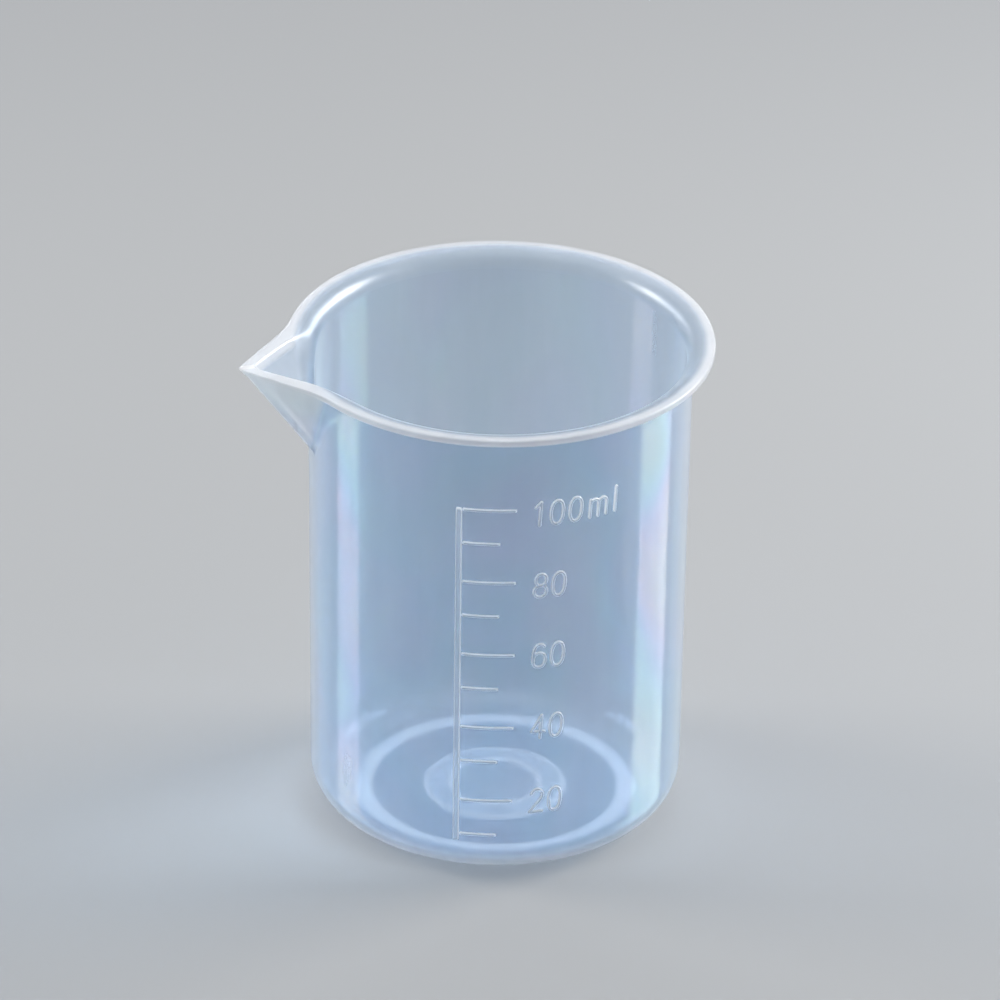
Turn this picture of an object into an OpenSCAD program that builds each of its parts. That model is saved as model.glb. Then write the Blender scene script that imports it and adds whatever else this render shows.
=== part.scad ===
// Low-form beaker of 100 ml, moulded in natural polypropylene, in millimetres.
// The origin is the centre of the foot on the table, +Z is up, the spout points to -X
// and the raised scale faces -Y.

/* [Body] */
// Height from the table to the top of the lip
height = 68; // [60:0.5:90]
// Outside diameter of the wall where it rises from the heel
body_d = 49.4; // [44:0.2:60]
// Outward lean of the wall, in degrees
draft = 0.6; // [0.2:0.1:1.5]
// Thickness of the wall, the lip and the spout
wall_t = 0.9; // [0.7:0.1:1.5]
// Outside radius of the rounded heel
heel_r = 5.7; // [4:0.1:8]

/* [Base] */
// Thickness of the floor
floor_t = 0.7; // [0.6:0.1:2]
// Width of the flat ring that the beaker stands on
foot_w = 2.6; // [1.5:0.1:4]
// Height of the hollow under the floor, inside the foot
foot_h = 0.2; // [0.1:0.05:0.4]
// Diameter of the low pad on the floor, over the moulding gate
pad_d = 18.4; // [15:0.2:22]
// Height of the pad
pad_h = 0.25; // [0.15:0.05:0.5]
// Diameter of the well under the pad
well_d = 12; // [8:0.2:14]
// Depth of the well
well_h = 0.3; // [0.15:0.05:0.4]
// Diameter of the gate mark left in the well
gate_d = 2.4; // [1:0.1:3]
// Height of the gate mark
gate_h = 0.12; // [0.05:0.01:0.14]

/* [Lip] */
// How far the lip stands out from the wall
lip_reach = 2.85; // [2.4:0.05:4]
// Radius under the bend of the lip
lip_bend_r = 1.6; // [0.8:0.1:2]
// Rounding of the lip's upper edge
lip_edge_r = 0.25; // [0.1:0.05:0.3]

/* [Spout] */
// How far the tip stands out from the lip
spout_reach = 7.3; // [5:0.1:9]
// Drop from the lip to the point where the keel meets the wall
spout_drop = 14; // [11:0.5:18]
// Angle between the two sides, seen from above
spout_angle = 84; // [70:1:90]
// Angle between the two edges of its rim, seen from above
spout_rim_angle = 94; // [92:1:100]

/* [Scale] */
// Millilitres from one mark to the next
step_ml = 10; // [5:0.5:11]
// Number of pairs of a short and a long mark
mark_pairs = 5; // [2:1:5]
// Height of each mark's line
mark_w = 0.45; // [0.3:0.05:0.8]
// How far the scale stands out from the wall
mark_relief = 0.25; // [0.1:0.05:0.5]
// Length of a long mark, along the wall
long_l = 7.1; // [5:0.1:10]
// Length of a short mark, along the wall
short_l = 5; // [3:0.1:8]
// Rise of the short marks above their true level
short_rise = 0.4; // [0:0.05:0.8]
// Width of the upright line that the marks start from
spine_w = 0.85; // [0.5:0.05:1.5]
// Length of the upright line below the lowest mark
spine_tail = 0.9; // [0.3:0.1:1.2]
// Bearing of the upright line, in degrees from the front
spine_turn = -26.7; // [-40:0.1:-10]

/* [Hidden] */
$fn = 96;
plastic = [0.80, 0.86, 0.92];
raised = [0.92, 0.95, 0.98];
front_turn = -90;
mm3_per_ml = 1000;

// How far a cutting shape runs past what it cuts
over = 1;

// The wall's lines, at any height
lean = tan(draft);
skew = cos(draft);
foot_r = body_d / 2 - heel_r / skew;
panel_r = foot_r - foot_w;
function outer_r(z) = body_d / 2 + (z - heel_r) * lean;
function inner_r(z) = outer_r(z) - wall_t / skew;
function corner(z) = [foot_r + (z - heel_r) * lean, z];

// The inside of the heel, and the volume up to its top
floor_z = foot_h + floor_t;
inner_heel_r = heel_r - wall_t;
heel_top_z = floor_z + inner_heel_r;
heel_top_r = inner_r(heel_top_z);
flat_r = corner(heel_top_z).x;
heel_v = PI * inner_heel_r * (flat_r ^ 2 + PI / 2 * flat_r * inner_heel_r + 2 / 3 * inner_heel_r ^ 2);

// The level that a volume fills the beaker to, from the volume of a cone
function level(ml) = heel_top_z
    + ((heel_top_r ^ 3 + 3 * lean * (ml * mm3_per_ml - heel_v) / PI) ^ (1 / 3) - heel_top_r) / lean;

// The lip's bend
bend_z = height - wall_t - lip_bend_r;
bend_r = outer_r(bend_z) + lip_bend_r;
lip_r = outer_r(bend_z) + lip_reach;

// The spout's keel, and half the angle of a V along it, in a section square to the keel
tip_r = lip_r + spout_reach;
keel_z = height - spout_drop;
keel_slope = atan2(spout_drop, tip_r - outer_r(keel_z));
function section_half(angle) = atan(tan(angle / 2) / sin(keel_slope));
mouth_x = inner_r(height) * cos(spout_angle / 2);
spout_l = tip_r - mouth_x;
section_h = (spout_l + over) * sin(keel_slope) + over;
keel_l = spout_l / cos(keel_slope);

// Half section of a bowl with a flat floor and a rounded heel, up to the lip's bend
module bowl(middle, round_r, floor_level, top_r) {
    translate(middle) circle(round_r);
    polygon([
        [0, floor_level],
        [middle.x, floor_level],
        middle + round_r * [skew, -sin(draft)],
        [top_r, bend_z],
        [0, bend_z],
    ]);
}

// Half section of the beaker's outside, filled, below the bend and grown by a skin
module outer_bowl(skin = 0) {
    bowl(corner(heel_r), heel_r + skin, -skin, outer_r(bend_z) + skin / skew);
}

// Half section of the space inside, below the bend
module inner_bowl() {
    bowl(corner(heel_top_z), inner_heel_r, floor_z, inner_r(bend_z));
}

// Half section of what lies inside the bend's curve of a given radius, up to a top level
module throat(curve_r, top_z = height) {
    difference() {
        translate([0, bend_z]) square([bend_r, top_z - bend_z]);
        translate([bend_r, bend_z]) circle(curve_r);
    }
}

// Half section of the lip's flat brim, from the bend to its edge, which is rounded on top
module brim() {
    translate([bend_r, height - wall_t]) {
        square([lip_r - bend_r - lip_edge_r, wall_t]);
        square([lip_r - bend_r, wall_t - lip_edge_r]);
        translate([lip_r - bend_r - lip_edge_r, wall_t - lip_edge_r]) circle(lip_edge_r);
    }
}

// Half section of the wall and the floor, below the lip
module shell() {
    difference() {
        outer_bowl();
        inner_bowl();
    }
}

// The beaker's outside as one solid that runs up past the lip, which the spout is fitted to
module outside() {
    rotate_extrude() {
        outer_bowl();
        throat(lip_bend_r, height + over);
        translate([bend_r, height - wall_t]) square([lip_r - bend_r, wall_t + over]);
    }
}

// A V-shaped bar along the keel, moved inward from the keel by an inset, between two levels
module keel_bar(inset, low_z = 0, top_z = height + over, angle = spout_angle) {
    half_angle = section_half(angle);
    half_w = section_h * tan(half_angle);
    intersection() {
        translate([-tip_r, 0, height])
            rotate([0, 90 + keel_slope, 0])
                translate([-inset / sin(half_angle), 0, -over])
                    linear_extrude(keel_l + over)
                        polygon([[0, 0], [-section_h, half_w], [-section_h, -half_w]]);
        translate([-tip_r - over, -spout_l, low_z]) cube([spout_l + over, 2 * spout_l, top_z - low_z]);
    }
}

// A stretch of the raised scale between two heights, turned from the spine's bearing
module raised_line(low_z, high_z, turn, arc) {
    rotate([0, 0, front_turn + spine_turn + turn])
        rotate_extrude(angle = arc)
            intersection() {
                difference() {
                    outer_bowl(mark_relief);
                    outer_bowl();
                }
                translate([0, low_z]) square([tip_r, high_z - low_z]);
            }
}

// The angle that a length along the wall covers, at a height
function sweep(length, z) = length / outer_r(z) * 180 / PI;

// One mark, from the edge of the upright line
module mark(z, length) {
    spine_edge = sweep(spine_w / 2, height / 2);
    raised_line(z - mark_w, z, spine_edge, sweep(length, z));
}

function short_z(pair) = level((2 * pair - 1) * step_ml) + short_rise;
function long_z(pair) = level(2 * pair * step_ml);

// The highest pair of marks that fits below the lip
top_pair = max([for (pair = [1 : mark_pairs]) if (long_z(pair) < bend_z) pair]);

module base_panel() {
    color(plastic) difference() {
        union() {
            translate([0, 0, foot_h]) cylinder(r = panel_r, h = floor_t);
            translate([0, 0, floor_z]) cylinder(d = pad_d, h = pad_h);
        }
        difference() {
            translate([0, 0, foot_h - over]) cylinder(d = well_d, h = well_h + over);
            translate([0, 0, foot_h + well_h - gate_h]) cylinder(d = gate_d, h = over);
        }
    }
}

module heel_ring() {
    color(plastic) rotate_extrude() intersection() {
        shell();
        translate([panel_r, 0]) square([body_d, heel_r]);
    }
}

module side_wall() {
    color(plastic) difference() {
        rotate_extrude() intersection() {
            shell();
            translate([0, heel_r]) square([body_d, height]);
        }
        keel_bar(wall_t);
    }
}

module flared_lip() {
    color(plastic) difference() {
        rotate_extrude() {
            difference() {
                throat(lip_bend_r);
                throat(lip_bend_r + wall_t);
            }
            brim();
        }
        keel_bar(wall_t);
    }
}

module pouring_spout() {
    color(plastic) {
        difference() {
            keel_bar(0, top_z = height);
            keel_bar(wall_t);
            outside();
        }
        difference() {
            keel_bar(0, height - wall_t, height, spout_rim_angle);
            keel_bar(wall_t);
            cylinder(r = lip_r, h = height + over);
        }
    }
}

module scale_spine() {
    color(raised) raised_line(
        short_z(1) - mark_w - spine_tail,
        long_z(top_pair),
        -sweep(spine_w / 2, height / 2),
        sweep(spine_w, height / 2)
    );
}

module long_marks() {
    color(raised) for (pair = [1 : top_pair]) mark(long_z(pair), long_l);
}

module short_marks() {
    color(raised) for (pair = [1 : top_pair]) mark(short_z(pair), short_l);
}

base_panel();
heel_ring();
side_wall();
flared_lip();
pouring_spout();
scale_spine();
long_marks();
short_marks();
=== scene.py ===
"""A 100 ml low-form beaker in natural polypropylene: one moulded shell with a turned-out lip and
a V spout, and a raised scale with its numerals. Shapes are worked out in millimetres until a mesh
is made. Materials, lamps and the camera are in metres."""
import math

import bpy
import numpy as np
from mathutils import Matrix, Vector


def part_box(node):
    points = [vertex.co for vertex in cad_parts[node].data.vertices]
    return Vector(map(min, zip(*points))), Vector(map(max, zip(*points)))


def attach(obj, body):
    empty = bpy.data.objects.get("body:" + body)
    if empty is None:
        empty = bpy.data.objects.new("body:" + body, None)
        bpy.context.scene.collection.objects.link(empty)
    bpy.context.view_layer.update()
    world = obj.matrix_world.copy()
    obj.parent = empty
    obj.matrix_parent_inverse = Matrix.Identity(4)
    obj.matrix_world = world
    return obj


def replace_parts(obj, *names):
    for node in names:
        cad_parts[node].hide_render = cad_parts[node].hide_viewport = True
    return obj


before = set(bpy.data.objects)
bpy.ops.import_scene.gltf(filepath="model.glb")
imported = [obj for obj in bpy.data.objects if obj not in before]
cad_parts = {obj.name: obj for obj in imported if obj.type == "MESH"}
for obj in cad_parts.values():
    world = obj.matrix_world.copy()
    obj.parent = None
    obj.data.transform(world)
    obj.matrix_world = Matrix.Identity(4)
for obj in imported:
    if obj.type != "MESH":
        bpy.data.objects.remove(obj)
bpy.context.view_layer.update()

MM = 0.001

# The beaker's sizes, as in the part's source
HEIGHT, WALL = 68.0, 0.9
BODY_R, DRAFT = 24.7, math.radians(0.6)
HEEL_R, FOOT_W, FOOT_H, FLOOR_T = 5.7, 2.6, 0.2, 0.7
PAD_R, PAD_H, WELL_R, WELL_H, GATE_R, GATE_H = 9.2, 0.25, 6.0, 0.3, 1.2, 0.12
LIP_REACH, LIP_BEND, LIP_EDGE = 2.85, 1.6, 0.25
SPOUT_REACH, SPOUT_DROP = 7.3, 14.0
SPOUT_HALF, RIM_HALF = math.radians(42.0), math.radians(47.0)
SPINE_TURN, SPINE_W = math.radians(-26.7), 0.85
LONG_L, SHORT_L, RELIEF = 7.1, 5.0, 0.25

# Small roundings of the moulding, which the part's source leaves sharp
GATE_EASE, WELL_EASE, FOOT_EASE, PAD_EASE = 0.04, 0.07, 0.06, 0.1
LIP_LOW_EDGE, MOUTH_EDGE = 0.10, 0.2
# A step's easing is this much lower than it is wide, and the next row lies this many times as far
STEP_FALL, STEP_RUN = 0.6, 3
# Each V's point is rounded over an angle, and two of them are moved out to make up for it
KEEL_SOFT, KEEL_OUT = 0.011, 0.2
RIM_SOFT, RIM_OUT = 0.010, 0.3
CHANNEL_SOFT = 0.02
# How far the spout blends into the wall, outside and inside: between two heights, from one width
# to another. Its rim blends into the lip's edge by one width.
CREASE = (56.0, 62.0, 0.35, 0.7)
MOUTH_BLEND = (62.0, 67.5, 0.7, 2.0)
RIM_BLEND = 1.2
# The flat under the lip's edge is at least this wide
BRIM_LEAST = 0.02

# The shell's grid. Its turns are in degrees from the spout, as (from, to, step).
TURNS = ((0.0, 1.5, 0.15), (1.5, 6.0, 0.3), (6.0, 26.0, 0.5), (26.0, 40.0, 1.0), (40.0, 180.1, 2.0))
# The plain wall's rows start above the heel and end below the spout, where the rows are closer
HEEL_GAP, WALL_TOP, WALL_ROWS = 1.8, 50.0, 16
SPOUT_LOW, SPOUT_STEP, BEND_GAP = 51.0, 0.3, 0.05
# Steps of the curves
HEEL_STEPS, BEND_STEPS, LOW_EDGE_STEPS, EDGE_STEPS, INNER_STEPS = 18, 12, 4, 6, 16
# Rows between two others: on the flats under and on top of the lip, as shares, and on its edge
UNDER_ROWS, TOP_ROWS, EDGE_ROW = (0.35, 0.75), (0.3, 0.7), 0.35

FOOT_R = BODY_R - HEEL_R / math.cos(DRAFT)
PANEL_R = FOOT_R - FOOT_W
FLOOR_Z = FOOT_H + FLOOR_T
PAD_Z = FLOOR_Z + PAD_H
WELL_Z = FOOT_H + WELL_H
GATE_Z = WELL_Z - GATE_H

# Radii of the rows on the flats of the base, outward below and inward above
GATE_RADII, WELL_RADII, HOLLOW_RADII = (GATE_R * 0.5,), (3.0,), (9.0, 12.0, 15.0)
FOOT_RADII = (PANEL_R + 0.9, FOOT_R - 0.6)
FLOOR_RADII, PAD_RADII = (17.0, 14.0, 11.5), (6.0, 3.0, 1.2)


def outer_r(z):
    return BODY_R + (z - HEEL_R) * math.tan(DRAFT)


def inner_r(z):
    return outer_r(z) - WALL / math.cos(DRAFT)


BEND_Z = HEIGHT - WALL - LIP_BEND
BEND_R = outer_r(BEND_Z) + LIP_BEND
LIP_R = outer_r(BEND_Z) + LIP_REACH
TIP_R = LIP_R + SPOUT_REACH
# How far the keel runs out for each millimetre up, and how far the channel's V lies inside it
KEEL_RUN = (TIP_R - outer_r(HEIGHT - SPOUT_DROP)) / SPOUT_DROP
SECTION_HALF = math.atan(math.tan(SPOUT_HALF) * math.hypot(1.0, KEEL_RUN))
WALL_SHIFT = WALL / math.sin(SECTION_HALF) * math.hypot(1.0, KEEL_RUN)


def ease(z, low, high, at_low, at_high):
    t = min(max((z - low) / (high - low), 0.0), 1.0)
    return at_low + (at_high - at_low) * t * t * (3.0 - 2.0 * t)


def smooth_max(a, b, width):
    """The larger of two radii, blended over a width where they are nearly the same."""
    h = np.maximum(width - np.abs(a - b), 0.0)
    return np.maximum(a, b) + h * h / (4.0 * width)


def wedge(apex, half, turn, soft):
    """The distance from the axis to a V's side, in a direction turned from the V's middle."""
    near = np.minimum(np.hypot(turn, soft), math.pi / 2 - half)
    return apex * math.sin(half) / np.sin(half + near)


def arc(cx, cz, r, start, end, steps):
    angles = [math.radians(start + (end - start) * i / steps) for i in range(steps + 1)]
    return [(cx + r * math.cos(t), cz + r * math.sin(t)) for t in angles]


def step_edge(r, z0, z1, ease_r):
    """A small step in a flat face, from z0 inside the radius to z1 outside it, with eased corners
    and a row at some distance on either side."""
    fall = math.copysign(ease_r * STEP_FALL, z1 - z0)
    far = STEP_RUN * ease_r
    return [(r - far, z0), (r - ease_r, z0), (r, z0 + fall),
            (r, z1 - fall), (r + ease_r, z1), (r + far, z1)]


def mesh_object(name, verts, faces, material):
    """A closed mesh with its faces turned outward, as a visible piece on the part's one body."""
    mesh = bpy.data.meshes.new(name)
    mesh.from_pydata([tuple(v) for v in np.asarray(verts) * MM], [], faces)
    mesh.validate()
    mesh.update()
    if sum(p.area * p.normal.dot(p.center) for p in mesh.polygons) < 0:
        mesh.flip_normals()
    mesh.polygons.foreach_set("use_smooth", np.ones(len(mesh.polygons), bool))
    mesh.materials.append(material)
    obj = bpy.data.objects.new(name, mesh)
    bpy.context.scene.collection.objects.link(obj)
    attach(obj, "root")
    return obj


def shell_rows():
    """The turns from the spout, and the beaker's section as rows of (radius at each turn, height),
    from the middle of its underside over the lip to the middle of its floor."""
    half = np.concatenate([np.arange(*span) for span in TURNS])
    turns = np.radians(np.concatenate([half, -half[-2:0:-1]]))
    away = np.abs(turns)
    ones = np.ones_like(away)
    rows = []

    def even(points):
        rows.extend((r * ones, z) for r, z in points)

    def flat(radii, z):
        even((r, z) for r in radii)

    def blended(points, v_side, blend):
        rows.extend((smooth_max(r * ones, v_side(z), ease(z, *blend)), z) for r, z in points)

    def keel(z):
        return wedge(TIP_R + KEEL_OUT - (HEIGHT - z) * KEEL_RUN, SPOUT_HALF, away, KEEL_SOFT)

    def channel(z):
        low = max(MOUTH_EDGE - (HEIGHT - z), 0.0)
        flare = MOUTH_EDGE - math.sqrt(MOUTH_EDGE ** 2 - low ** 2)
        apex = TIP_R - WALL_SHIFT - (HEIGHT - z) * KEEL_RUN
        return wedge(apex, SPOUT_HALF, away, CHANNEL_SOFT) + flare

    def rim(z):
        apex = TIP_R + RIM_OUT - (HEIGHT - z) * KEEL_RUN
        return smooth_max(LIP_R * ones, wedge(apex, RIM_HALF, away, RIM_SOFT), RIM_BLEND)

    # Underside: the gate mark, the well, the hollow and the foot
    flat(GATE_RADII, GATE_Z)
    even(step_edge(GATE_R, GATE_Z, WELL_Z, GATE_EASE))
    flat(WELL_RADII, WELL_Z)
    even(step_edge(WELL_R, WELL_Z, FOOT_H, WELL_EASE))
    flat(HOLLOW_RADII, FOOT_H)
    even(step_edge(PANEL_R, FOOT_H, 0.0, FOOT_EASE))
    flat(FOOT_RADII, 0.0)

    # Outside: the heel, the wall and the bend under the lip
    lean = math.degrees(DRAFT)
    even(arc(FOOT_R, HEEL_R, HEEL_R, -90.0, -lean, HEEL_STEPS))
    even((outer_r(z), z) for z in np.linspace(HEEL_R + HEEL_GAP, WALL_TOP, WALL_ROWS))
    heights = np.arange(SPOUT_LOW, BEND_Z - BEND_GAP, SPOUT_STEP)
    blended([(outer_r(z), z) for z in heights], keel, CREASE)
    blended(arc(BEND_R, BEND_Z, LIP_BEND, 180.0, 90.0, BEND_STEPS), keel, CREASE)

    # Lip: its underside, edge and top
    brim_z = HEIGHT - WALL
    low_z = brim_z + LIP_LOW_EDGE
    under = rows[-1][0]
    edge = np.maximum(rim(low_z), under + LIP_LOW_EDGE + BRIM_LEAST)
    for share in UNDER_ROWS:
        rows.append((under + (edge - LIP_LOW_EDGE - under) * share, brim_z))
    for r, z in arc(-LIP_LOW_EDGE, low_z, LIP_LOW_EDGE, -90.0, 0.0, LOW_EDGE_STEPS):
        rows.append((edge + r, z))
    rows.append((np.maximum(rim(brim_z + EDGE_ROW), edge), brim_z + EDGE_ROW))
    for r, z in arc(-LIP_EDGE, HEIGHT - LIP_EDGE, LIP_EDGE, 0.0, 90.0, EDGE_STEPS):
        rows.append((rim(z) + r, z))
    top = rim(HEIGHT)
    mouth = smooth_max(BEND_R * ones, channel(HEIGHT), ease(HEIGHT, *MOUTH_BLEND))
    for share in TOP_ROWS:
        rows.append((top - LIP_EDGE + (mouth - top + LIP_EDGE) * share, HEIGHT))

    # Inside: the bend, the wall, the heel, the floor and its pad
    blended(arc(BEND_R, BEND_Z, LIP_BEND + WALL, 90.0, 180.0, INNER_STEPS), channel, MOUTH_BLEND)
    heights = np.arange(BEND_Z - SPOUT_STEP, SPOUT_LOW, -SPOUT_STEP)
    blended([(inner_r(z), z) for z in heights], channel, MOUTH_BLEND)
    heel_z = FLOOR_Z + HEEL_R - WALL
    heel_r = FOOT_R + (heel_z - HEEL_R) * math.tan(DRAFT)
    even((inner_r(z), z) for z in np.linspace(WALL_TOP, heel_z + HEEL_GAP, WALL_ROWS))
    even(arc(heel_r, heel_z, HEEL_R - WALL, -lean, -90.0, INNER_STEPS))
    flat(FLOOR_RADII, FLOOR_Z)
    even(reversed(step_edge(PAD_R, PAD_Z, FLOOR_Z, PAD_EASE)))
    flat(PAD_RADII, PAD_Z)
    return turns, rows


def make_shell(material):
    """The moulding as one skin: a grid of rows by turns, closed by a fan at each end."""
    turns, rows = shell_rows()
    n, m = len(rows), len(turns)
    verts = [
        np.stack([-radius * np.cos(turns), -radius * np.sin(turns), np.full(m, z)], axis=1)
        for radius, z in rows
    ]
    verts = np.concatenate(verts + [np.array([[0, 0, GATE_Z], [0, 0, PAD_Z]])])
    faces = []
    for i in range(n - 1):
        for j in range(m):
            k = (j + 1) % m
            faces.append((i * m + j, i * m + k, (i + 1) * m + k, (i + 1) * m + j))
    for j in range(m):
        k = (j + 1) % m
        faces.append((n * m, k, j))
        faces.append((n * m + 1, (n - 1) * m + j, (n - 1) * m + k))
    shell = mesh_object("beaker_shell", verts, faces, material)
    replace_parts(shell, "base_panel", "heel_ring", "side_wall", "flared_lip", "pouring_spout")


# The raised scale: each shape is given by its distance from a point (across, up) on the wall,
# unrolled at one radius. It starts a little inside the wall.
UNROLL_R, SINK = 25.0, 0.04
# A grid point nearer to a shape's edge than this counts as outside, so no sliver is made
EDGE_GAP = 0.004
# The grid runs past a shape by these numbers of steps
GRID_BEFORE, GRID_AFTER = 1.5, 1.6
# Lines: the rounding of their corners, the width of their rounded sides, and grid steps
LINE_ROUND, LINE_BEVEL = 0.12, 0.16
SPINE_GRID, MARK_GRID = (0.07, 0.4), (0.3, 0.06)
# Marks are told apart by a gap in height larger than this
MARK_GAP = 1.0


def raised(name, shapes, material):
    """Closed raised shapes on the wall. Each is a distance function, its range across and up, the
    grid's steps across and up, and the width of its rounded side."""
    verts, faces = [], []
    for distance, u0, u1, v0, v1, du, dv, bevel in shapes:
        us = np.arange(u0 - GRID_BEFORE * du, u1 + GRID_AFTER * du, du)
        vs = np.arange(v0 - GRID_BEFORE * dv, v1 + GRID_AFTER * dv, dv)
        U, V = np.meshgrid(us, vs, indexing="ij")
        D = distance(U, V)
        D = np.where(np.abs(D) < EDGE_GAP, EDGE_GAP, D)
        inside = D < 0
        t = np.clip(-D / bevel, 0, 1)
        rise = -SINK + (RELIEF + SINK) * np.sqrt(1 - (1 - t) ** 2)
        index = {}

        def put(key, u, v, h):
            if key not in index:
                index[key] = len(verts)
                r = outer_r(v) + h
                turn = u / UNROLL_R
                verts.append((r * math.sin(turn), -r * math.cos(turn), v))
            return index[key]

        for i in range(len(us) - 1):
            for j in range(len(vs) - 1):
                ring = [(i, j), (i + 1, j), (i + 1, j + 1), (i, j + 1)]
                if not any(inside[c] for c in ring):
                    continue
                top, low = [], []
                for c, d in zip(ring, ring[1:] + ring[:1]):
                    if inside[c]:
                        top.append(put(("top", c), U[c], V[c], rise[c]))
                        low.append(put(("low", c), U[c], V[c], -SINK))
                    if inside[c] != inside[d]:
                        f = D[c] / (D[c] - D[d])
                        u, v = U[c] + f * (U[d] - U[c]), V[c] + f * (V[d] - V[c])
                        edge = put(("edge", *sorted((c, d))), u, v, -SINK)
                        top.append(edge)
                        low.append(edge)
                faces.append(tuple(top))
                faces.append(tuple(reversed(low)))
    return mesh_object(name, verts, faces, material)


def line_shape(u0, u1, v0, v1, grid):
    """A straight line with rounded corners."""
    cu, cv = (u0 + u1) / 2, (v0 + v1) / 2
    hu, hv = (u1 - u0) / 2 - LINE_ROUND, (v1 - v0) / 2 - LINE_ROUND

    def distance(u, v):
        a, b = np.abs(u - cu) - hu, np.abs(v - cv) - hv
        outside = np.hypot(np.maximum(a, 0), np.maximum(b, 0))
        return outside + np.minimum(np.maximum(a, b), 0) - LINE_ROUND

    return distance, u0, u1, v0, v1, *grid, LINE_BEVEL


def oval(cx, cy, rx, ry, start=0.0, end=360.0, power=2.3, steps=40):
    """A stretch of a slightly squared oval."""
    def bulge(value):
        return math.copysign(abs(value) ** (2 / power), value)

    angles = [math.radians(start + (end - start) * i / steps) for i in range(steps + 1)]
    return [(cx + rx * bulge(math.cos(t)), cy + ry * bulge(math.sin(t))) for t in angles]


# Each sign: its width, and the middle lines of its strokes
GLYPHS = {
    "0": (1.65, [oval(0.825, 1.7, 0.825, 1.7)]),
    "1": (0.64, [[(0.0, 2.65), (0.64, 3.4), (0.64, 0.0)]]),
    "2": (1.65, [oval(0.8, 2.5, 0.76, 0.9, 165.0, -35.0, 2.0, 20) + [(0.0, 0.0), (1.65, 0.0)]]),
    "4": (1.7, [[(1.2, 0.0), (1.2, 3.4), (0.0, 0.96), (1.7, 0.96)]]),
    "6": (1.65, [oval(0.825, 1.05, 0.825, 1.05),
                 oval(0.825, 1.7, 0.825, 1.7, 205.0, 50.0, 2.3, 24)]),
    "8": (1.65, [oval(0.825, 2.55, 0.71, 0.85, power=2.1),
                 oval(0.825, 0.87, 0.825, 0.87, power=2.1)]),
    "m": (2.4, [[(0.0, 0.0), (0.0, 2.5)],
                oval(0.6, 1.83, 0.6, 0.67, 180.0, 0.0, 2.2, 14) + [(1.2, 0.0)],
                oval(1.8, 1.83, 0.6, 0.67, 180.0, 0.0, 2.2, 14) + [(2.4, 0.0)]]),
    "l": (0.0, [[(0.0, 0.0), (0.0, 3.55)]]),
}
GLYPH_H, STROKE, LEAN = 3.4, 0.46, math.tan(math.radians(3.5))
# A sign's grid: how far it runs to each side, how far up and down, and its steps
GLYPH_SIDE, GLYPH_REACH, GLYPH_GRID = 0.8, 2.5, (0.075, 0.075)
GLYPH_BEVEL = 0.2


def glyph_shape(sign, left, mid_z):
    """One sign, drawn with a round stroke and leaning a little."""
    width, lines = GLYPHS[sign]
    low_z = mid_z - GLYPH_H / 2
    segments = []
    for line in lines:
        points = [(left + x + (y - GLYPH_H / 2) * LEAN, low_z + y) for x, y in line]
        segments += list(zip(points[:-1], points[1:]))

    def distance(u, v):
        best = np.full(u.shape, np.inf)
        for (x0, y0), (x1, y1) in segments:
            dx, dy = x1 - x0, y1 - y0
            size = dx * dx + dy * dy
            t = np.clip(((u - x0) * dx + (v - y0) * dy) / size, 0, 1) if size else 0.0
            best = np.minimum(best, np.hypot(u - x0 - t * dx, v - y0 - t * dy))
        return best - STROKE / 2

    return (distance, left - GLYPH_SIDE, left + width + GLYPH_SIDE,
            mid_z - GLYPH_REACH, mid_z + GLYPH_REACH, *GLYPH_GRID, GLYPH_BEVEL)


# Each numeral: its name, how far its middle lies below its mark's, and its signs' left edges
NUMERALS = [
    ("20", 0.15, [("2", -1.69), ("0", 0.77)]),
    ("40", 0.0, [("4", -1.69), ("0", 0.77)]),
    ("60", 0.25, [("6", -1.69), ("0", 0.77)]),
    ("80", 0.6, [("8", -1.69), ("0", 0.77)]),
    ("100_ml", 0.65, [("1", -1.71), ("0", 0.34), ("0", 2.89), ("m", 5.8), ("l", 9.6)]),
]


def mark_heights(node):
    """The lowest and highest level of each mark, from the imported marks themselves."""
    marks = []
    for z in sorted(np.array([v.co.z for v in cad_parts[node].data.vertices]) / MM):
        if not marks or z - marks[-1][1] > MARK_GAP:
            marks.append([z, z])
        marks[-1][1] = z
    return marks


def make_scale(material):
    low, high = (p.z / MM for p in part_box("scale_spine"))
    middle, half = UNROLL_R * SPINE_TURN, SPINE_W / 2
    edge = middle + half
    line = line_shape(middle - half, edge, low, high, SPINE_GRID)
    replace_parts(raised("scale_upright", [line], material), "scale_spine")
    for name, node, length in (
        ("scale_long_lines", "long_marks", LONG_L),
        ("scale_short_lines", "short_marks", SHORT_L),
    ):
        lines = [line_shape(edge, edge + length, a, b, MARK_GRID) for a, b in mark_heights(node)]
        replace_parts(raised(name, lines, material), node)
    for (a, b), (number, drop, signs) in zip(mark_heights("long_marks"), NUMERALS):
        mid_z = (a + b) / 2 - drop
        glyphs = [glyph_shape(sign, left, mid_z) for sign, left in signs]
        raised("numeral_" + number, glyphs, material)


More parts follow.
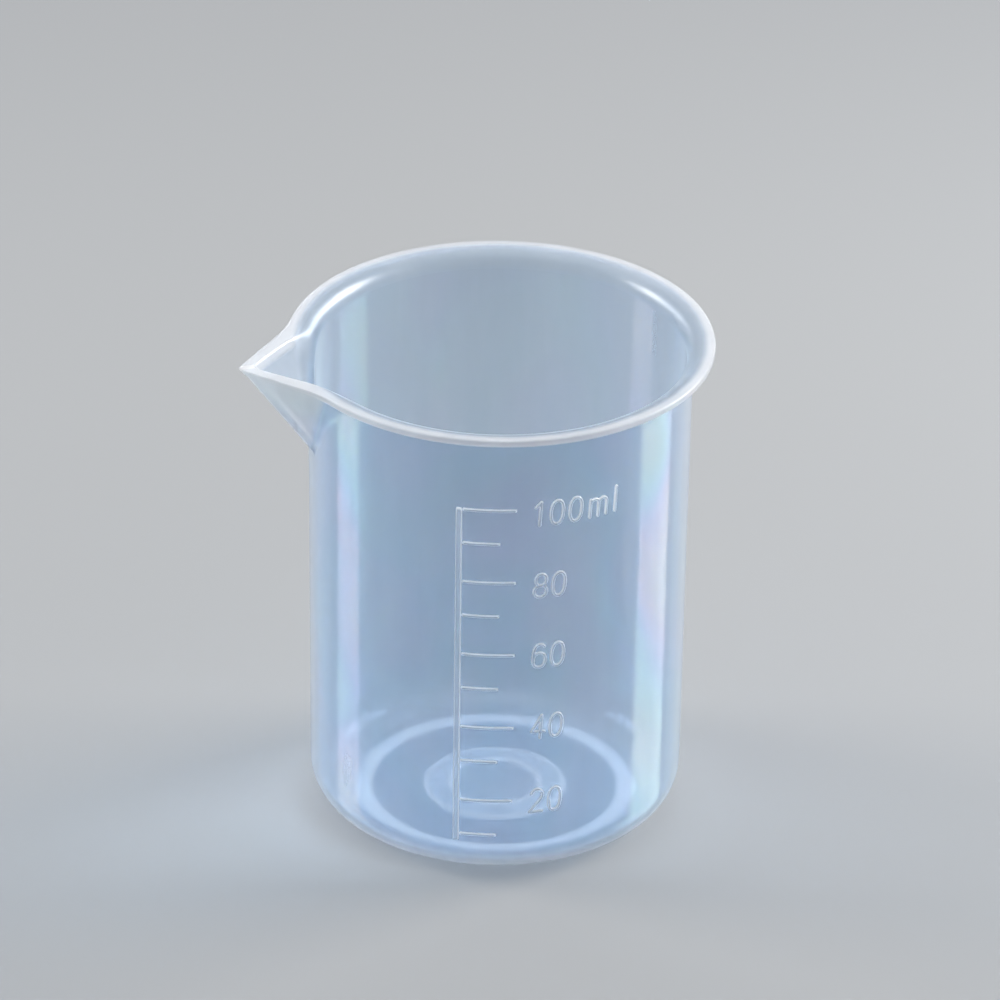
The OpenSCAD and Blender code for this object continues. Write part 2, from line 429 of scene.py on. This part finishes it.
class Nodes:
    """A material's node tree, with short ways to add to it."""

    def __init__(self, name):
        self.material = bpy.data.materials.new(name)
        self.material.use_nodes = True
        self.tree = self.material.node_tree
        self.bsdf = self.tree.nodes["Principled BSDF"]
        self.shader = self.bsdf.outputs["BSDF"]
        coordinates = self.add("TexCoord").outputs
        self.place, self.normal = coordinates["Object"], coordinates["Normal"]

    def add(self, kind, **values):
        node = self.tree.nodes.new("ShaderNode" + kind)
        for key, value in values.items():
            setattr(node, key, value)
        return node

    def link(self, source, target):
        self.tree.links.new(source, target)

    def set(self, **values):
        """Values of the main shader's inputs."""
        for key, value in values.items():
            self.bsdf.inputs[key.replace("_", " ")].default_value = value

    def feed(self, name, source):
        """Lead a value that varies into one of the main shader's inputs."""
        self.link(source, self.bsdf.inputs[name])

    def spread(self, source, low, high, to_low, to_high):
        """A smooth change from one value to another, between two values of the source."""
        node = self.add("MapRange", interpolation_type="SMOOTHSTEP")
        for i, value in enumerate((low, high, to_low, to_high)):
            node.inputs[i + 1].default_value = value
        self.link(source, node.inputs[0])
        return node.outputs[0]

    def maths(self, operation, *terms):
        node = self.add("Math", operation=operation)
        for socket, term in zip(node.inputs, terms):
            if isinstance(term, (int, float)):
                socket.default_value = term
            else:
                self.link(term, socket)
        return node.outputs[0]

    def product(self, first, *others):
        for other in others:
            first = self.maths("MULTIPLY", first, other)
        return first

    def largest(self, first, *others):
        for other in others:
            first = self.maths("MAXIMUM", first, other)
        return first

    def vectors(self, operation, *terms):
        node = self.add("VectorMath", operation=operation)
        for socket, term in zip(node.inputs, terms):
            self.link(term, socket)
        return node.outputs

    def split(self, vector):
        node = self.add("SeparateXYZ")
        self.link(vector, node.inputs["Vector"])
        return node.outputs

    def across(self):
        """A point's place across the axis, as a vector."""
        x, y, _ = self.split(self.place)
        node = self.add("CombineXYZ")
        self.link(x, node.inputs["X"])
        self.link(y, node.inputs["Y"])
        return node.outputs["Vector"]

    def radius(self):
        """A point's distance from the axis."""
        return self.vectors("LENGTH", self.across())["Value"]

    def noise(self, scale, detail, stretch):
        mapping = self.add("Mapping")
        mapping.inputs["Scale"].default_value = stretch
        self.link(self.place, mapping.inputs["Vector"])
        node = self.add("TexNoise")
        node.inputs["Scale"].default_value = scale
        node.inputs["Detail"].default_value = detail
        self.link(mapping.outputs["Vector"], node.inputs["Vector"])
        return node.outputs["Fac"]

    def ramp(self, source, stops):
        node = self.add("ValToRGB")
        elements = node.color_ramp.elements
        while len(elements) < len(stops):
            elements.new(0.5)
        for element, (at, color) in zip(elements, stops):
            element.position = at
            element.color = (*color, 1) if isinstance(color, tuple) else (color, color, color, 1)
        self.link(source, node.inputs["Fac"])
        return node.outputs["Color"]

    def mix(self, share, first, second):
        node = self.add("MixShader")
        for socket, source in zip(node.inputs, (share, first, second)):
            self.link(source, socket)
        return node.outputs["Shader"]

    def clear(self, color=(1, 1, 1, 1)):
        node = self.add("BsdfTransparent")
        node.inputs["Color"].default_value = color
        return node.outputs["BSDF"]

    def surface(self, shader):
        self.link(shader, self.tree.nodes["Material Output"].inputs["Surface"])


# What a lamp's light keeps of its colour on its way through the plastic
LAMP_TINT = (0.76, 0.79, 0.82, 1)
# Noise is drawn out up the wall
FLOW_STRETCH, FILM_STRETCH = (1.0, 1.0, 0.18), (1.0, 1.0, 0.6)
# Between these two values lies most of the noise
NOISE_RANGE = (0.3, 0.7)
# Painted light on the floor, by the share of a radius: painted highlight lines on the well's edge
# and the pad's edge, a paler pad, and the floor and the foot painted paler to lighten their shade
RING_SPAN = 0.03
PAINTED_RINGS = [
    (0.185, 0.25), (0.195, 0.75), (0.205, 0.75), (0.215, 0.38),
    (0.295, 0.38), (0.303, 0.80), (0.312, 0.80), (0.322, 0.15),
    (0.535, 0.15), (0.555, 0.65), (0.600, 0.65), (0.635, 0.20),
]
# Where the shell's other masks begin and end: heights, distances from the axis, distances from the
# spout's middle, places along the spout, and the upward part of the surface's direction
FLOOR_TOP, HEEL_UP, SATIN_UP, LIP_UP = (
    (0.0013, 0.0022), (0.0005, 0.0050), (0.0645, 0.0665), (0.0662, 0.0674))
HEEL_OUT, LIP_OUT = (0.0185, 0.0195), (0.0262, 0.0276)
KEEL_Y = (0.0003, 0.0010)
KEEL_X, SPOUT_X, CHANNEL_X = (-0.0264, -0.0256), (-0.0264, -0.0250), (-0.0272, -0.0256)
UPWARD, UPRIGHT = (-0.05, 0.25), (0.05, 0.10)
CHANNEL_LEAST, CHANNEL_MOST = (0.05, 0.20), (0.75, 0.90)
FILM_NM = (320.0, 500.0)
BUMP_DEPTH = 0.0004
# Colours of the clear wall and of the milky parts, which carry the painted light and shade
CLEAR_COLOR, WHITE_AND_PAINTED_LIGHT_COLOR = (0.66, 0.76, 0.875), (0.935, 0.93, 0.95)
# The painted highlight colour of the scale's rounded sides, and the colour of its face
SIDE_HIGHLIGHT_COLOR, FACE_COLOR = (0.96, 0.98, 1.0), (0.84, 0.89, 0.94)


def polypropylene(name, rough, bump):
    """Natural polypropylene: a soft gloss, and faint flow marks drawn up the wall."""
    n = Nodes(name)
    n.set(IOR=1.49, Subsurface_Weight=1.0, Subsurface_Radius=(1.0, 1.0, 1.0),
          Subsurface_Scale=0.0015)
    n.set(Sheen_Weight=0.25, Sheen_Roughness=0.3, Sheen_Tint=(0.90, 0.95, 1.0, 1))
    n.surface(n.mix(n.add("LightPath").outputs["Is Shadow Ray"], n.shader, n.clear(LAMP_TINT)))
    n.flow = n.noise(scale=150.0, detail=4.0, stretch=FLOW_STRETCH)
    n.gloss = n.spread(n.flow, *NOISE_RANGE, *rough)
    relief = n.add("Bump")
    relief.inputs["Strength"].default_value = bump
    relief.inputs["Distance"].default_value = BUMP_DEPTH
    n.link(n.noise(scale=90.0, detail=2.0, stretch=FLOW_STRETCH), relief.inputs["Height"])
    n.feed("Normal", relief.outputs["Normal"])
    return n


def shell_plastic():
    """The wall is clearest and has a milky blue cast. The lip, the spout, the heel, the foot and
    the pad are whiter, partly as thicker plastic is and partly as painted light: painted highlights
    along the keel and on the floor, shade painted paler, and the channel painted clearer where lit."""
    n = polypropylene("natural_polypropylene", rough=(0.03, 0.08), bump=0.03)
    x, y, up = n.split(n.place)
    out = n.radius()
    tilt = n.split(n.normal)["Z"]
    upward = n.spread(tilt, *UPWARD, 0.0, 1.0)

    # Painted light on the floor's upper side only: highlight lines at its steps, and its shade
    # lightened
    painted_ring_light = n.ramp(n.maths("DIVIDE", out, RING_SPAN), PAINTED_RINGS)
    painted_floor_light = n.product(painted_ring_light, n.spread(up, *FLOOR_TOP, 1.0, 0.0), upward)
    # The heel, mostly outside: milky plastic, and painted light that is strongest on its faces
    # turned down, lightening their shade
    heel = n.product(n.spread(up, *HEEL_UP, 0.80, 0.0), n.spread(out, *HEEL_OUT, 0.0, 1.0),
                     n.spread(upward, 0.0, 1.0, 1.0, 0.3))
    # A painted highlight line along the keel, the spout's middle
    keel = n.product(n.spread(n.maths("ABSOLUTE", y), *KEEL_Y, 1.0, 0.0),
                     n.spread(x, *KEEL_X, 1.0, 0.0))
    # The lip and the spout: thicker plastic, and painted light, paler on faces turned down into
    # shade than on faces turned up
    under = n.spread(upward, 0.0, 1.0, 0.90, 0.35)
    lip = n.product(n.largest(under, n.spread(up, *LIP_UP, 0.0, 1.0)),
                    n.spread(out, *LIP_OUT, 0.0, 0.7))
    spout = n.product(under, n.spread(x, *SPOUT_X, 0.75, 0.0))
    # The spout's channel is a little clearer: painted shade, toning down the channel where the
    # lamps light it
    channel = n.product(n.spread(tilt, *CHANNEL_LEAST, 0.0, 1.0),
                        n.spread(tilt, *CHANNEL_MOST, 1.0, 0.0),
                        n.spread(x, *CHANNEL_X, 1.0, 0.0))
    # Whiteness from milky plastic and from painted light and shade sets the colour and the
    # clearness
    whiteness_and_painted_light = n.product(n.largest(painted_floor_light, heel, keel, lip, spout),
                      n.spread(channel, 0.0, 1.0, 1.0, 0.90))
    whiteness_and_painted_light = n.maths("ADD", whiteness_and_painted_light, n.spread(n.flow, *NOISE_RANGE, 0.0, 0.08))
    n.feed("Base Color", n.ramp(whiteness_and_painted_light, [(0.0, CLEAR_COLOR), (1.0, WHITE_AND_PAINTED_LIGHT_COLOR)]))

    # The plastic turns milky where it is whiter, painted light included, or seen at a slant
    slant = n.add("LayerWeight")
    slant.inputs["Blend"].default_value = 0.5
    milky = n.largest(whiteness_and_painted_light, n.spread(slant.outputs["Facing"], 0.45, 1.0, 0.0, 0.9))
    n.feed("Transmission Weight", n.spread(milky, 0.0, 1.0, 0.87, 0.30))
    # The lip is satin, and the channel stays smooth
    satin = n.product(n.spread(up, *SATIN_UP, 0.0, 0.25), n.spread(channel, 0.0, 1.0, 1.0, 0.0))
    n.feed("Roughness", n.largest(n.gloss, satin))
    # A thin film on the upright wall stands in for the faint pink and green of stressed plastic
    film = n.spread(n.noise(scale=60.0, detail=1.0, stretch=FILM_STRETCH), *NOISE_RANGE, *FILM_NM)
    n.feed("Thin Film Thickness", n.product(film, n.spread(tilt, *UPRIGHT, 1.0, 0.0)))
    n.set(Thin_Film_IOR=1.63)
    return n.material


def scale_plastic():
    """The raised scale: its rounded sides are painted pale as painted highlights, and its face is
    nearly as clear as the wall."""
    n = polypropylene("raised_polypropylene", rough=(0.08, 0.14), bump=0.05)
    outward = n.vectors("NORMALIZE", n.across())["Vector"]
    facing = n.vectors("DOT_PRODUCT", outward, n.normal)["Value"]
    # Where the face share is low, on the rounded sides, the scale carries painted highlights
    face = n.spread(facing, 0.80, 0.99, 0.0, 1.0)
    face = n.maths("ADD", face, n.spread(n.flow, *NOISE_RANGE, -0.1, 0.1))
    n.feed("Base Color", n.ramp(face, [(0.0, SIDE_HIGHLIGHT_COLOR), (1.0, FACE_COLOR)]))
    n.feed("Transmission Weight", n.spread(face, 0.0, 1.0, 0.15, 0.75))
    n.feed("Roughness", n.gloss)
    return n.material


# The studio floor lies just under the foot and fades into the backdrop between two distances
STAGE_COLOR, STAGE_GLOSS = (0.46, 0.47, 0.48, 1), 0.08
STAGE_HALF, STAGE_Z, STAGE_FADE = 4.0, -0.00005, (0.12, 0.45)
# The backdrop's colour, and its strength as light and where it is seen
WORLD_COLOR, WORLD_LIGHT, WORLD_SEEN = (0.92, 0.95, 1.0, 1), 0.20, 0.45
# Each lamp: its name, place, aim, size and power
LAMPS = (
    ("softbox_top", (-0.10, 0.20, 0.80), (0, 0, 0.03), (0.9, 0.9), 2.1),
    ("softbox_right", (0.54, 0.04, 0.33), (0, 0, 0.02), (0.30, 0.28), 3.8),
    ("softbox_left", (-0.464, 0.247, 0.31), (0, 0, 0.03), (0.20, 0.24), 1.7),
)


def make_stage():
    """A plain pale floor. It is matt, and only the beaker's own gloss sees it as glossy."""
    n = Nodes("studio_floor")
    n.set(Base_Color=STAGE_COLOR, Roughness=STAGE_GLOSS)
    matt = n.add("BsdfDiffuse")
    matt.inputs["Color"].default_value = STAGE_COLOR
    fade = n.spread(n.radius(), *STAGE_FADE, 0.0, 1.0)
    seen = n.mix(fade, matt.outputs["BSDF"], n.clear())
    n.surface(n.mix(n.add("LightPath").outputs["Glossy Depth"], seen, n.shader))
    mesh = bpy.data.meshes.new("studio_floor")
    sides = ((-1, -1), (1, -1), (1, 1), (-1, 1))
    corners = [(x * STAGE_HALF, y * STAGE_HALF, STAGE_Z) for x, y in sides]
    mesh.from_pydata(corners, [], [(0, 1, 2, 3)])
    mesh.materials.append(n.material)
    floor = bpy.data.objects.new("studio_floor", mesh)
    bpy.context.scene.collection.objects.link(floor)


def make_world():
    world = bpy.data.worlds.new("studio")
    bpy.context.scene.world = world
    world.use_nodes = True
    tree = world.node_tree
    back = tree.nodes["Background"]
    back.inputs["Color"].default_value = WORLD_COLOR
    # The backdrop that is seen, also in gloss and through the plastic, is as pale as the floor
    ray = tree.nodes.new("ShaderNodeLightPath")
    seen = ray.outputs["Is Camera Ray"]
    for kind in ("Is Glossy Ray", "Is Transmission Ray"):
        either = tree.nodes.new("ShaderNodeMath")
        either.operation = "MAXIMUM"
        tree.links.new(seen, either.inputs[0])
        tree.links.new(ray.outputs[kind], either.inputs[1])
        seen = either.outputs[0]
    level = tree.nodes.new("ShaderNodeMapRange")
    level.inputs["To Min"].default_value = WORLD_LIGHT
    level.inputs["To Max"].default_value = WORLD_SEEN
    tree.links.new(seen, level.inputs["Value"])
    tree.links.new(level.outputs["Result"], back.inputs["Strength"])


def make_lamps():
    for name, place, aim, size, power in LAMPS:
        light = bpy.data.lights.new(name, "AREA")
        light.shape = "RECTANGLE"
        light.size, light.size_y = size
        light.energy = power
        obj = bpy.data.objects.new(name, light)
        obj.location = place
        obj.rotation_euler = (Vector(aim) - Vector(place)).to_track_quat("-Z", "Y").to_euler()
        obj.visible_camera = False
        bpy.context.scene.collection.objects.link(obj)


# The photo's camera: its direction, its focal length in pixels, its distance, and where its target
# falls in the square picture
AZIMUTH, ELEVATION, ROLL = (math.radians(v) for v in (-15.0, 29.095, 0.846))
FOCAL, AWAY, TARGET = 11305.6, 1.5, Vector((0, 0, 0.034))
PICTURE, TARGET_X, TARGET_Y = 1000, 497.65, 565.57
SENSOR, CLIP = 36.0, (0.05, 50.0)


def make_camera():
    flat = math.cos(ELEVATION)
    back = Vector((math.sin(AZIMUTH) * flat, -math.cos(AZIMUTH) * flat, math.sin(ELEVATION)))
    level = Vector((math.cos(AZIMUTH), math.sin(AZIMUTH), 0))
    upright = back.cross(level)
    right = level * math.cos(ROLL) + upright * math.sin(ROLL)
    up = upright * math.cos(ROLL) - level * math.sin(ROLL)
    place = TARGET + back * AWAY
    # The camera looks past the target, so that the target falls where it does in the photo
    aim = TARGET + right * (AWAY * (PICTURE / 2 - TARGET_X) / FOCAL)
    aim += up * (AWAY * (TARGET_Y - PICTURE / 2) / FOCAL)
    z = (place - aim).normalized()
    x = up.cross(z).normalized()
    y = z.cross(x)
    camera = bpy.data.cameras.new("camera")
    camera.sensor_width = SENSOR
    camera.lens = FOCAL / PICTURE * SENSOR
    camera.clip_start, camera.clip_end = CLIP
    obj = bpy.data.objects.new("camera", camera)
    matrix = Matrix((x, y, z)).transposed().to_4x4()
    matrix.translation = place
    obj.matrix_world = matrix
    bpy.context.scene.collection.objects.link(obj)
    bpy.context.scene.camera = obj


bpy.context.scene.view_settings.view_transform = "Standard"
make_shell(shell_plastic())
make_scale(scale_plastic())
make_stage()
make_world()
make_lamps()
make_camera()
